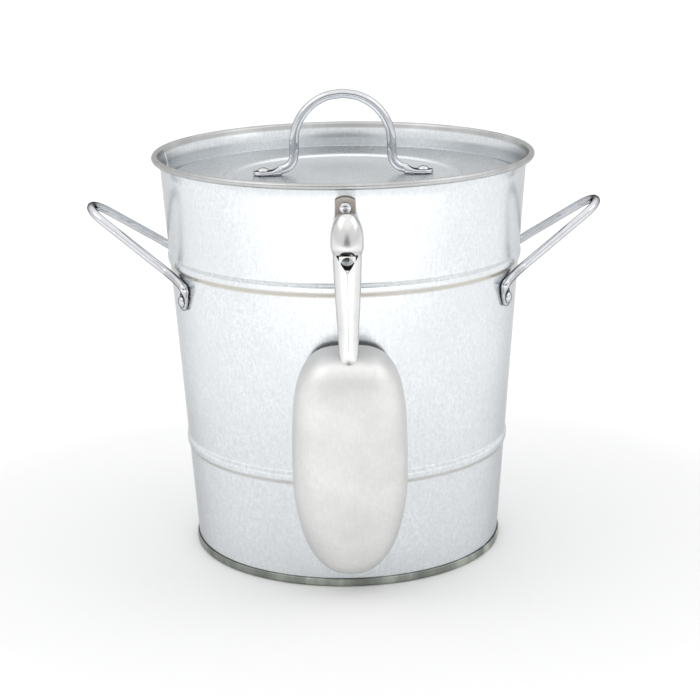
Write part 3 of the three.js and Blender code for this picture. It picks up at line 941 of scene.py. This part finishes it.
def build_hook():
    thick, half_top, half_nose = 1.2, 5.5, 1.9
    top, shoulder, bend_height, bend, tip = 224.4, 203.0, 194.0, 3.4, 6.5
    shift = 0.8
    off = FIT + thick / 2
    line = []
    steps = 26
    for k in range(steps + 1):
        height = top + (bend_height - top) * k / steps
        line.append((wall_radius(height) + off, height))
    line += arc((line[-1][0] + bend, bend_height), bend, 184, 315, 12)[1:]
    x, z = line[-1]
    for k in range(1, 5):
        reach = tip * math.sqrt(0.5) * k / 4
        line.append((x + reach, z + reach))
    columns = [-1 + 2 * k / 12 for k in range(13)]
    points, faces = [], []
    for skin in (-1, 1):
        for i, (out, height) in enumerate(line):
            before, after = line[max(i - 1, 0)], line[min(i + 1, len(line) - 1)]
            along = Vector((after[0] - before[0], after[1] - before[1])).normalized()
            normal = Vector((-along.y, along.x)) * (skin * thick / 2)
            share = smooth((shoulder - 3.5 - height) / -5.0) if i <= steps else 0.0
            half = half_nose + (half_top - half_nose) * share
            for u in columns:
                sag = 0.0
                if i <= 3:
                    sag = (1.9 * u * u) * (1 - i / 4)
                points.append((shift + u * half, -(out + normal.x), height + normal.y - sag))
    rows, width = len(line), len(columns)
    skin_size = rows * width

    def at(skin, i, j):
        return skin * skin_size + i * width + j

    for i in range(rows - 1):
        for j in range(width - 1):
            for skin in (0, 1):
                faces.append(
                    (at(skin, i, j), at(skin, i, j + 1), at(skin, i + 1, j + 1), at(skin, i + 1, j))
                )
        for j in (0, width - 1):
            faces.append((at(0, i, j), at(1, i, j), at(1, i + 1, j), at(0, i + 1, j)))
    for i in (0, rows - 1):
        for j in range(width - 1):
            faces.append((at(0, i, j), at(0, i, j + 1), at(1, i, j + 1), at(1, i, j)))
    hook = piece_from("scoop_hook_strip", points, faces)
    soften_edges(hook, 0.25)
    finished(hook, metals["nickel"], "bucket", "nickel", "scoop_hook")
    height = 218.5
    out = Vector((0, -1, -settings().pail.wall_growth)).normalized()
    across = Vector((1, 0, 0))
    place = placed(across, out.cross(across), out, (shift, -wall_radius(height), height))
    face = 2 * FIT + thick
    depth = face + settings().pail.sheet / MM + 0.45
    head = rivet("hook_rivet_head", place, face - 0.3, depth - 0.3, 2.6, 0.5)
    finished(head, metals["chrome"], "bucket", "chrome", "hook_rivet")


def soften_edges(piece, width):
    bevel = piece.modifiers.new("softened_edges", "BEVEL")
    bevel.width = width * MM
    bevel.segments = 2
    bevel.limit_method = "ANGLE"
    bevel.angle_limit = math.radians(40)
    bevel.harden_normals = True


# ---- Scoop ----

STAND_OFF = 4.0
SCOOP_SHIFT = 1.5


def scoop_place():
    """The plane of the bowl's rim: local Y runs into the bowl and Z up its length."""
    tilt = math.atan(settings().pail.wall_growth)
    across = Vector((-1, 0, 0))
    into = Vector((0, -math.cos(tilt), -math.sin(tilt)))
    up = Vector((0, -math.sin(tilt), math.cos(tilt)))
    return placed(across, into, up, (SCOOP_SHIFT, -wall_radius(0) - STAND_OFF, 0))


def bowl_point(turn, share, skin):
    """A point of the bowl: turn runs round from its back, share from bottom to rim."""
    scoop = settings().scoop
    back, middle, tip = 144.0, 74.0, 10.0
    half, depth = scoop.half_width / MM, scoop.depth / MM
    c, s = math.cos(turn), math.sin(turn)
    draft = 0.08 - 0.06 * smooth(c)
    ease = smooth((c + 0.35) / 0.7)
    sharp = 2.25 + (3.3 - 2.25) * ease
    reach = (back - middle if c > 0 else middle - tip) - skin
    x = (half - skin) * math.copysign(abs(s) ** (2 / sharp), s)
    z = reach * math.copysign(abs(c) ** (2 / sharp), c)
    fullness = 2.2 + 1.2 * min(1.0, c + 1) + 1.2 * smooth(c)
    angle = share * math.pi / 2
    out = math.sin(angle) ** (2 / fullness)
    deep = math.cos(angle) ** (2 / fullness) if share < 1 else 0.0
    spread = out * (1 - draft * deep)
    return (x * spread, (depth - skin) * deep, middle + z * spread)


def bowl_block():
    """The bowl's outer shape as a solid, to shape the grip's end to it."""
    rings = []
    for k in range(1, 41):
        share = k / 40
        rings.append([bowl_point(TURN * j / 96, share, -0.1) for j in range(96)])
    return lofted("bowl_block", rings, scoop_place())


def build_bowl():
    facets, rings, thick = 144, 40, 1.0
    points = []
    shares = [(k / rings) ** 0.8 for k in range(rings + 1)]
    skins = [(0.0, share) for share in shares] + [(thick, share) for share in reversed(shares)]
    for skin, share in skins:
        for k in range(facets):
            points.append(bowl_point(TURN * k / facets, share, skin))
    faces = bands(numbered(len(skins), facets))
    bowl = piece_from("scoop_pressed_bowl", points, faces, scoop_place())
    soften_edges(bowl, 0.3)
    finished(bowl, metals["bowl"], "scoop", "scoop", "scoop_bowl")


# The grip's outside, from the bowl to its closed head: radius, and distance along its axis.
GRIP_PROFILE = (
    (5.8, -6), (5.45, -3.5), (5.3, 0), (5.5, 8), (6.7, 29), (7.4, 43),
    (7.7, 50), (7.75, 53.2), (8.3, 54.6), (8.8, 56.6), (8.9, 60), (8.6, 64),
    (7.8, 68), (6.4, 71.2), (4.6, 73.6), (2.6, 74.8), (0, 75.2),
)

# Half of the notch over the hanging hole: across, and up from the hole's middle.
HALF_VEE = (
    (2.2, -2.0), (4.6, 2.0), (5.7, 3.9), (5.6, 4.5), (4.9, 4.7),
    (3.9, 4.8), (3.6, 5.6), (2.8, 6.5), (1.4, 7.0),
)


def grip_place():
    neck_depth, head_depth, neck, hole = 15.0, 10.3, 144.4, 193.2
    lean = math.atan((neck_depth - head_depth) / (hole - neck))
    local = Matrix.Translation((0, neck_depth, neck)) @ Matrix.Rotation(lean, 4, "X")
    return scoop_place() @ local, (hole - neck) / math.cos(lean)


def prism(name, outline, start, end, place):
    """A cutting block: an (x, z) outline run along local Y."""
    count = len(outline)
    points = [(x, y, z) for y in (start, end) for x, z in outline]
    ends = numbered(2, count)
    faces = [tuple(end_row) for end_row in ends] + bands(ends)
    return piece_from(name, points, faces, place)


def build_grip():
    place, hole_along = grip_place()
    wall = 0.8
    curve = threaded([Vector((radius, 0, along)) for radius, along in GRIP_PROFILE], 70)
    outer = [(max(p.x, 0.0), p.z) for p in curve]
    outer[-1] = (0, outer[-1][1])
    inner = []
    for i, (radius, along) in enumerate(outer):
        before, after = outer[max(i - 1, 0)], outer[min(i + 1, len(outer) - 1)]
        run = Vector((after[0] - before[0], after[1] - before[1])).normalized()
        inner.append((max(0.0, radius - wall * run.y), along + wall * run.x))
    inner[0] = (outer[0][0] - wall, outer[0][1])
    inner[-1] = (0, outer[-1][1] - wall)
    outline = inner[:1] + outer + inner[::-1]

    def peak(angle, radius, along):
        """The hood overhangs the mouth on the side away from the bucket."""
        facing = max(0.0, math.sin(angle))
        rise = smooth((71.0 - along) / 14.0) * smooth((along - 54.2) / 1.6)
        return 1.25 * rise * facing ** 1.5 * min(1.0, radius / 4)

    grip = turned("scoop_rolled_grip", outline, 96, open_axis=True, place=place, shift=peak)
    gap = 0.06
    half_vee = [(x, hole_along + up) for x, up in HALF_VEE]
    vee = [(gap, hole_along - 5.2)] + half_vee
    vee += [(-x, along) for x, along in reversed(half_vee)] + [(-gap, hole_along - 5.2)]
    seam = [(-gap, 1), (gap, 1), (gap, hole_along - 5), (-gap, hole_along - 5)]
    hole_radius, flat_hole_radius = 3.6, 3.45
    ring = arc((0, hole_along), hole_radius, 0, 352.5, 47)
    flat_ring = arc((0, hole_along), flat_hole_radius, 0, 352.5, 47)
    flat = [(-4.0, hole_along - 6.0), (4.0, hole_along - 6.0)]
    flat += [(4.35, hole_along + 4.0), (-4.35, hole_along + 4.0)]
    pressed = prism("pressed_flat", flat, 5.3, 6.1, place)
    punch = prism("flat_tool", flat_ring, 3, 9, place)
    combine(pressed, (punch, "DIFFERENCE"))
    tools = [
        prism("vee_tool", vee, 0.5, 20, place),
        prism("seam_tool", seam, 0.5, 20, place),
        prism("hole_tool", ring, -20, -0.5, place),
        bowl_block(),
    ]
    combine(grip, *((tool, "DIFFERENCE") for tool in tools), (pressed, "UNION"))
    grip.data.shade_smooth()
    grip.data.set_sharp_from_angle(angle=math.radians(40))
    finished(grip, metals["grip"], "scoop", "scoop", "scoop_handle")
    # The faces turned towards the grip's axis take the darkened steel: painted shade inside the
    # rolled tube.
    grip.data.materials.append(metals["inside"])
    back = place.inverted()
    for face in grip.data.polygons:
        middle = back @ (face.center / MM)
        normal = back.to_3x3() @ face.normal
        if middle.x * normal.x + middle.y * normal.y < -0.3 * math.hypot(middle.x, middle.y):
            face.material_index = 1


def combine(piece, *changes):
    """Cuts or joins blocks into a piece, and removes the blocks."""
    for block, operation in changes:
        modifier = piece.modifiers.new(block.name, "BOOLEAN")
        modifier.operation = operation
        modifier.object = block
        modifier.solver = "EXACT"
    bpy.context.view_layer.update()
    graph = bpy.context.evaluated_depsgraph_get()
    solid = bpy.data.meshes.new_from_object(piece.evaluated_get(graph))
    piece.modifiers.clear()
    piece.data = solid
    for block, operation in changes:
        bpy.data.objects.remove(block)


# ---- Studio ----


def build_studio():
    studio = settings().studio
    scene = bpy.context.scene
    reach, cells = 9.0, 24
    floor_mesh = bpy.data.meshes.new("studio_floor")
    shape = bmesh.new()
    bmesh.ops.create_grid(shape, x_segments=cells, y_segments=cells, size=reach)
    shape.to_mesh(floor_mesh)
    shape.free()
    floor = bpy.data.objects.new("studio_floor", floor_mesh)
    scene.collection.objects.link(floor)
    floor.location.z = cad_box[0][2] - 0.0002
    paper = Recipe("studio_paper", 0.0, 0.9)
    # Painted shadow: the paper darkens to 0.88 of its tone within about 0.24 to 0.42 m of the
    # bucket's middle.
    away = paper.node("ShaderNodeVectorMath", Vector=paper.place)
    away.operation = "LENGTH"
    painted_shadow_share = paper.range(away.outputs["Value"], 0.24, 0.42, 1.0, 0.0)
    grain = paper.noise(40.0, 2.0)
    paler = paper.mixed(grain, shade(studio.floor, 1.0), shade(studio.floor, 0.99))
    tone = paper.mixed(painted_shadow_share, paler, shade(studio.floor, 0.88))
    paper.shader.inputs["Emission Color"].default_value = (1.0, 1.0, 1.0, 1.0)
    paper.shader.inputs["Emission Strength"].default_value = 0.05
    paper.shader.inputs["Specular IOR Level"].default_value = 0.1
    floor_mesh.materials.append(paper.done(tone))

    camera = bpy.data.objects.new("camera", bpy.data.cameras.new("camera"))
    scene.collection.objects.link(camera)
    camera.data.lens = studio.lens
    camera.data.sensor_width = 36.0
    pitch, yaw, roll = 0.2672, 0.0023, 0.0138
    forward = Vector(
        (math.sin(yaw) * math.cos(pitch), math.cos(yaw) * math.cos(pitch), -math.sin(pitch))
    )
    right = Vector((math.cos(yaw), -math.sin(yaw), 0))
    up = right.cross(forward)
    side = right * math.cos(roll) - up * math.sin(roll)
    head = up * math.cos(roll) + right * math.sin(roll)
    camera.matrix_world = placed(side, head, -forward, Vector((0, -1095.3, 412.4)) * MM)
    scene.camera = camera

    world = bpy.data.worlds.new("soft_room")
    world.use_nodes = True
    scene.world = world
    sky = Nodes(world.node_tree)
    back = sky.tree.nodes["Background"]
    where = sky.node("ShaderNodeTexCoord").outputs["Generated"]
    parts = sky.node("ShaderNodeSeparateXYZ", Vector=where).outputs
    tone = sky.ramp(parts["Z"], (0.0, 0.95), (0.08, 0.78), (0.50, 0.85), (0.66, 1.05), (1.0, 1.05))
    facing = sky.range(parts["Y"], -0.965, -0.88, 1.0, 0.0)
    level = sky.range(parts["Z"], 0.38, 0.50, 1.0, 0.0)
    share = sky.maths("MULTIPLY", facing, level)
    tone = sky.mixed(share, tone, (0.25, 0.25, 0.26, 1.0))
    sky.put(back.inputs["Color"], tone)
    back.inputs["Strength"].default_value = studio.sky

    for name, place, wide, deep, power, spread in (
        ("key_panel", (-1.3, -0.6, 1.7), 1.4, 1.4, 4.0, 180),
        ("fill_panel", (1.5, -0.3, 1.4), 1.2, 1.2, 2.5, 180),
        ("floor_panel", (0.0, -0.80, 1.15), 3.0, 0.4, 3.5, 46),
    ):
        lamp = bpy.data.lights.new(name, "AREA")
        lamp.shape = "RECTANGLE"
        lamp.size = wide
        lamp.size_y = deep
        lamp.energy = power
        lamp.spread = math.radians(spread)
        holder = bpy.data.objects.new(name, lamp)
        scene.collection.objects.link(holder)
        holder.location = place
        if place[0]:
            aim = Vector((0, 0, 0.1)) - Vector(place)
            holder.rotation_euler = aim.to_track_quat("-Z", "Y").to_euler()
    scene.view_settings.view_transform = "Standard"
    scene.view_settings.look = "None"


# ---- Operators ----


class ICEBUCKET_OT_wall(bpy.types.Operator):
    """Builds the galvanized wall with its ribs and rolled rim"""

    bl_idname = "icebucket.wall"
    bl_label = "Wall"

    def execute(self, context):
        build_wall()
        return {"FINISHED"}


class ICEBUCKET_OT_base(bpy.types.Operator):
    """Builds the base with its seam ring"""

    bl_idname = "icebucket.base"
    bl_label = "Base"

    def execute(self, context):
        build_base()
        return {"FINISHED"}


class ICEBUCKET_OT_lining(bpy.types.Operator):
    """Builds the inner bucket and finishes the foam round it"""

    bl_idname = "icebucket.lining"
    bl_label = "Lining"

    def execute(self, context):
        build_lining()
        finish_foam()
        return {"FINISHED"}


class ICEBUCKET_OT_loops(bpy.types.Operator):
    """Builds the two side handles"""

    bl_idname = "icebucket.loops"
    bl_label = "Side handles"

    def execute(self, context):
        build_side_handles()
        return {"FINISHED"}


class ICEBUCKET_OT_rivets(bpy.types.Operator):
    """Builds the rivets and washers of the handles"""

    bl_idname = "icebucket.rivets"
    bl_label = "Rivets"

    def execute(self, context):
        build_rivets()
        return {"FINISHED"}


class ICEBUCKET_OT_lid(bpy.types.Operator):
    """Builds the lid's sheet and its pan"""

    bl_idname = "icebucket.lid"
    bl_label = "Lid"

    def execute(self, context):
        build_lid()
        return {"FINISHED"}


class ICEBUCKET_OT_lid_handle(bpy.types.Operator):
    """Builds the arched handle of the lid"""

    bl_idname = "icebucket.lid_handle"
    bl_label = "Lid handle"

    def execute(self, context):
        build_lid_handle()
        return {"FINISHED"}


class ICEBUCKET_OT_hook(bpy.types.Operator):
    """Builds the strip hook and its rivet"""

    bl_idname = "icebucket.hook"
    bl_label = "Hook"

    def execute(self, context):
        build_hook()
        return {"FINISHED"}


class ICEBUCKET_OT_scoop(bpy.types.Operator):
    """Builds the scoop's bowl and rolled grip"""

    bl_idname = "icebucket.scoop"
    bl_label = "Scoop"

    def execute(self, context):
        build_bowl()
        build_grip()
        return {"FINISHED"}


class ICEBUCKET_OT_studio(bpy.types.Operator):
    """Builds the floor, the lights and the camera"""

    bl_idname = "icebucket.studio"
    bl_label = "Studio"

    def execute(self, context):
        build_studio()
        return {"FINISHED"}


operators = (
    ICEBUCKET_OT_studio,
    ICEBUCKET_OT_wall,
    ICEBUCKET_OT_base,
    ICEBUCKET_OT_lining,
    ICEBUCKET_OT_loops,
    ICEBUCKET_OT_rivets,
    ICEBUCKET_OT_lid,
    ICEBUCKET_OT_lid_handle,
    ICEBUCKET_OT_hook,
    ICEBUCKET_OT_scoop,
)


class ICEBUCKET_PT_panel(bpy.types.Panel):
    """Lists the settings and the pieces of the ice bucket"""

    bl_label = "Ice Bucket"
    bl_space_type = "VIEW_3D"
    bl_region_type = "UI"
    bl_category = "Ice Bucket"

    def draw(self, context):
        for group in ("pail", "fittings", "scoop", "studio"):
            values = getattr(context.scene.ice_bucket, group)
            box = self.layout.box()
            for name in values.bl_rna.properties.keys():
                if name not in ("rna_type", "name"):
                    box.prop(values, name)
        for operator in operators:
            self.layout.operator(operator.bl_idname)


classes = (
    PailSettings,
    FittingSettings,
    ScoopSettings,
    StudioSettings,
    BucketSettings,
    *operators,
    ICEBUCKET_PT_panel,
)


def register():
    for entry in classes:
        bpy.utils.register_class(entry)
    bpy.types.Scene.ice_bucket = PointerProperty(type=BucketSettings)


def unregister():
    del bpy.types.Scene.ice_bucket
    for entry in reversed(classes):
        bpy.utils.unregister_class(entry)


def main():
    register()
    mix_metals()
    for operator in operators:
        group, name = operator.bl_idname.split(".")
        getattr(getattr(bpy.ops, group), name)()


if __name__ == "__main__":
    main()
